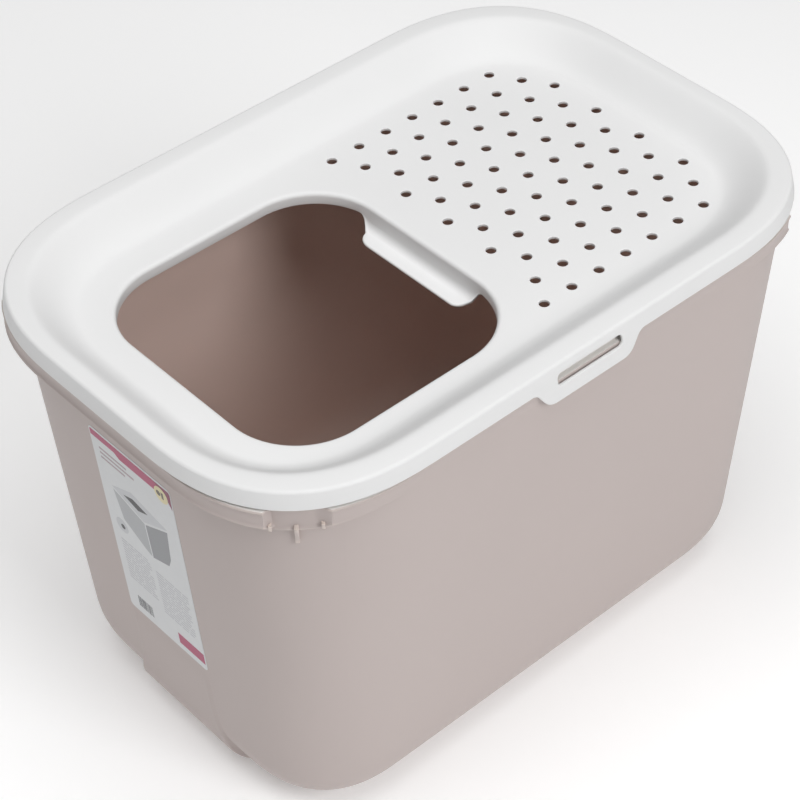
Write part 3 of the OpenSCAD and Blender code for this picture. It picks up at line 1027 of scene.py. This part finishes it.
def build_tub_hinge(side, name):
    """The bracket on the rim: a plate and two ears round the knuckle."""
    low, high = box_mm(name)
    axis = (AXIS.y, AXIS.z)
    plate_y = AXIS.y - BARREL_R - 0.4
    barrel = arc_points(axis, BARREL_R, *BRACKET_ARC, 24)
    foot = fillet_path([(low.y, low.z + 1.5), (low.y + 1.5, low.z), barrel[0]], (0.5,), 4)
    brow = fillet_path([barrel[-1], (low.y + 4, high.z), (low.y, high.z)], (3,), 6)
    loop = foot[:-1] + barrel + brow[1:]
    shell = Shell()
    extruded(shell, loop, low.x, low.x + EAR, (axis, PIN_R))
    extruded(shell, loop, high.x - EAR, high.x, (axis, PIN_R))
    foot_z, brow_z = low.z + 0.2, high.z - 0.2
    plate = [(low.y, brow_z), (low.y, foot_z), (plate_y, foot_z), (plate_y, brow_z)]
    extruded(shell, [Vector(p) for p in plate], low.x + EAR - EAR_OVERLAP, high.x - EAR + EAR_OVERLAP)
    piece = shell.piece("rim_bracket_" + side, TAUPE)
    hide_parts(name)
    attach(piece, "tub")


def build_pin(side, name):
    """The hinge pin: a chamfered shaft with a domed head on its outer end."""
    low, high = box_mm(name)
    sign, head_x, tail_x = (1, high.x, low.x) if side == "right" else (-1, low.x, high.x)
    head_r = (high.y - low.y) / 2
    head = [(0, 0.55), (0.25, 0.85), (0.7, 1), (1.5, 1)]
    tail = [(0.9, 0), (0.2, 0.5), (0, 0.9)]
    profile = [(head_x - sign * along, head_r * share) for along, share in head]
    profile += [(head_x - sign * head[-1][0], PIN_R)]
    profile += [(tail_x + sign * along, PIN_R - cut) for along, cut in tail]
    shell = Shell()
    rows = shell.loft([[(x, p.x, p.y) for p in circle((AXIS.y, AXIS.z), radius, 32)]
                       for x, radius in profile])
    shell.faces += [tuple(rows[0]), tuple(rows[-1])]
    piece = shell.piece("pin_" + side, PIN_GREY)
    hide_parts(name)
    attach(piece, "tub")


# ---------------------------------------------------------------- label

LABEL_W = LABEL_HIGH.y - LABEL_LOW.y
LABEL_H = LABEL_HIGH.z - LABEL_LOW.z
FILM = 0.25
INK = 0.06


def printed(name, colour, sheen=0.35):
    """A screen-printed ink: slight speckle and an uneven gloss."""
    light = tuple(min(1, c * 1.07 + 0.004) for c in colour)
    return moulded_plastic(name, colour, light, roughness=sheen, grain=0.02, mottle=160, specular=0.4)


def on_label(across, down, lift):
    """A point of the label, from its top left corner as seen from outside, in shares of its size."""
    z = LABEL_HIGH.z - down * LABEL_H
    return (-wall_spec(z)[0] - lift, LABEL_HIGH.y - across * LABEL_W, z)


def label_patch(shell, loop, lift, thick):
    """A thin closed sheet on the label, from a clockwise or anticlockwise outline."""
    top = shell.add(on_label(*p, lift + thick) for p in loop)
    foot = shell.add(on_label(*p, lift) for p in loop)
    shell.strip(foot, top)
    shell.faces.append(tuple(top))
    shell.faces.append(tuple(foot))


def label_round(centre, radius_mm):
    """A round patch, in shares of the label, from its radius in millimetres."""
    return [(centre[0] + p.x / LABEL_W, centre[1] + p.y / LABEL_H) for p in circle((0, 0), radius_mm, 28)]


def label_box(left, top, right, foot):
    return [(left, top), (right, top), (right, foot), (left, foot)]


def label_piece(name, colour, patches, layer=0):
    """A printed piece in one ink. A higher layer lies on the ones below it."""
    shell = Shell()
    for patch in patches:
        label_patch(shell, patch, FILM + layer * INK, INK)
    piece = shell.piece(name, printed(name + "_ink", colour), merge=0.001)
    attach(piece, "tub")


def text_bars(rng, left, right, top, rows, pitch):
    """Rows of plain bars that stand for lines of small print."""
    bars = []
    for row in range(rows):
        at = left
        while at < right - 0.03:
            length = rng.uniform(0.05, 0.13)
            stop = min(at + length, right)
            bars.append(label_box(at, top + row * pitch, stop, top + row * pitch + pitch * 0.34))
            at = stop + 0.014
    return bars


def stripes(rng, left, right, top, foot):
    """Upright bars of uneven width, as on a till code, with no real code in them."""
    bars, at = [], left
    while at < right:
        width = rng.choice((0.004, 0.006, 0.009))
        bars.append(label_box(at, top, min(at + width, right), foot))
        at += width + rng.choice((0.004, 0.006, 0.008))
    return bars


def build_film():
    """The label's paper, with rounded corners."""
    start = (LABEL_W / 2, 0)
    corners = [start, (LABEL_W, 0), (LABEL_W, LABEL_H), (0, LABEL_H), (0, 0), start]
    outline = fillet_path(corners, (4, 4, 4, 4), 6)[:-1]
    shell = Shell()
    label_patch(shell, [(p.x / LABEL_W, p.y / LABEL_H) for p in outline], 0.02, FILM - 0.02)
    film = shell.piece("label_sheet", printed("label_paper", (0.70, 0.71, 0.72), 0.42), merge=0.001)
    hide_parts("label")
    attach(film, "tub")


def build_band():
    """The coloured band along the top, its dark corner, the block at the foot and the emblem."""
    band = [(0.02, 0.012), (0.98, 0.012), (0.99, 0.022), (0.99, 0.05), (0.80, 0.062), (0.36, 0.062),
            (0.30, 0.045), (0.01, 0.045), (0.01, 0.018)]
    corner = [(0.80, 0.0122), (0.98, 0.0122), (0.989, 0.022), (0.989, 0.10), (0.93, 0.055)]
    label_piece("label_band", (0.42, 0.045, 0.13), [band, label_box(0.66, 0.905, 0.985, 0.965)])
    label_piece("label_band_corner", (0.22, 0.02, 0.075), [corner], 1)
    label_piece("label_emblem", (0.74, 0.66, 0.40), [label_round((0.87, 0.062), 8)], 2)
    label_piece("label_emblem_mark", (0.13, 0.10, 0.07),
                [label_round((0.84, 0.060), 2.6), label_box(0.875, 0.045, 0.90, 0.078)], 3)


def build_picture():
    """A plain drawing of a box with a lid, and a round badge beside it."""
    lid = [(0.15, 0.27), (0.42, 0.215), (0.84, 0.262), (0.52, 0.335)]
    entry = [(0.30, 0.268), (0.42, 0.248), (0.60, 0.268), (0.47, 0.292)]
    end_wall = [(0.16, 0.285), (0.52, 0.345), (0.53, 0.52), (0.46, 0.505), (0.22, 0.43)]
    long_wall = [(0.535, 0.345), (0.835, 0.275), (0.80, 0.44), (0.76, 0.485), (0.545, 0.52)]
    label_piece("label_picture_light", (0.56, 0.57, 0.59), [lid, label_round((0.165, 0.485), 7.5)])
    label_piece("label_picture_mid", (0.42, 0.43, 0.445), [end_wall])
    label_piece("label_picture_dark", (0.27, 0.275, 0.29), [long_wall])
    label_piece("label_picture_entry", (0.035, 0.035, 0.04), [entry, label_round((0.175, 0.488), 2.6)], 1)


def build_print():
    """Bars for a heading and for small print, and the stripes."""
    rng = random.Random(7)
    heading = [label_box(0.09, 0.085 + 0.024 * i, 0.09 + width, 0.095 + 0.024 * i)
               for i, width in enumerate((0.34, 0.42, 0.30))]
    label_piece("label_heading", (0.42, 0.33, 0.36), heading)
    small = text_bars(rng, 0.10, 0.47, 0.575, 15, 0.0155) + text_bars(rng, 0.53, 0.93, 0.60, 16, 0.0155)
    label_piece("label_small_print", (0.50, 0.50, 0.53), small)
    label_piece("label_stripes", (0.10, 0.10, 0.11), stripes(rng, 0.14, 0.33, 0.895, 0.955))


# ---------------------------------------------------------------- stage

# The photo's camera: where it stands, which way it looks and which way is right in its picture.
EYE = Vector((-910.2, -1051.1, 1491.9)) * METRE
SIGHT = Vector((0.4775, 0.5588, -0.6780)).normalized()
RIGHT = Vector((0.7452, -0.6664, -0.0244))
LENS = 104.95
SENSOR = 36
STAGE_HALF = 6000
SKY_STRENGTH = 0.11
FLOOR_GLOW = 0.2


def build_camera():
    data = bpy.data.cameras.new("camera")
    data.lens = LENS
    data.sensor_width = SENSOR
    camera = bpy.data.objects.new("camera", data)
    up = RIGHT.cross(SIGHT).normalized()
    turn = Matrix((SIGHT.cross(up), up, -SIGHT)).transposed().to_4x4()
    camera.matrix_world = Matrix.Translation(EYE) @ turn
    bpy.context.scene.collection.objects.link(camera)
    bpy.context.scene.camera = camera


def area_light(name, place, target, size, power):
    """A round soft light, aimed at a target, in metres and watts."""
    data = bpy.data.lights.new(name, "AREA")
    data.shape = "DISK"
    data.size = size
    data.energy = power
    light = bpy.data.objects.new(name, data)
    light.location = place
    light.rotation_euler = (Vector(target) - Vector(place)).to_track_quat("-Z", "Y").to_euler()
    bpy.context.scene.collection.objects.link(light)


def build_lights():
    scene = bpy.context.scene
    scene.view_settings.view_transform = "Standard"
    scene.world = bpy.data.worlds.new("studio")
    scene.world.use_nodes = True
    sky = scene.world.node_tree.nodes["Background"]
    socket(sky, "Color", (1, 1, 1, 1))
    socket(sky, "Strength", SKY_STRENGTH)
    area_light("key", (0.1, -3.0, 2.55), (0, 0, 0.25), 1.7, 54)
    area_light("top", (-0.4, -0.15, 3.2), (0, 0, 0.3), 3.2, 68)
    area_light("fill", (-3.0, 1.2, 1.3), (0, 0, 0.2), 1.5, 5)


def build_floor():
    pale = moulded_plastic("pale_floor", (0.92, 0.92, 0.92), (0.94, 0.94, 0.94),
                           roughness=0.9, grain=0.01, mottle=2, specular=0.1)
    shader = pale.node_tree.nodes["Principled BSDF"]
    socket(shader, "Emission Color", (1, 1, 1, 1))
    socket(shader, "Emission Strength", FLOOR_GLOW)
    shell = Shell()
    corners = [p for quadrant in range(4) for p in turned([(STAGE_HALF, STAGE_HALF)], quadrant)]
    shell.plate(corners, [], lambda p: (p.x, p.y, 0))
    floor = shell.piece("studio_floor", pale)


build_camera()
build_lights()
build_floor()
build_lid()
build_tab()
build_tub()
for side in ("left", "right"):
    build_lid_hinge(side, "lid_hinge_" + side)
    build_tub_hinge(side, "tub_hinge_" + side)
    build_pin(side, "hinge_pin_" + side)
build_film()
build_band()
build_picture()
build_print()
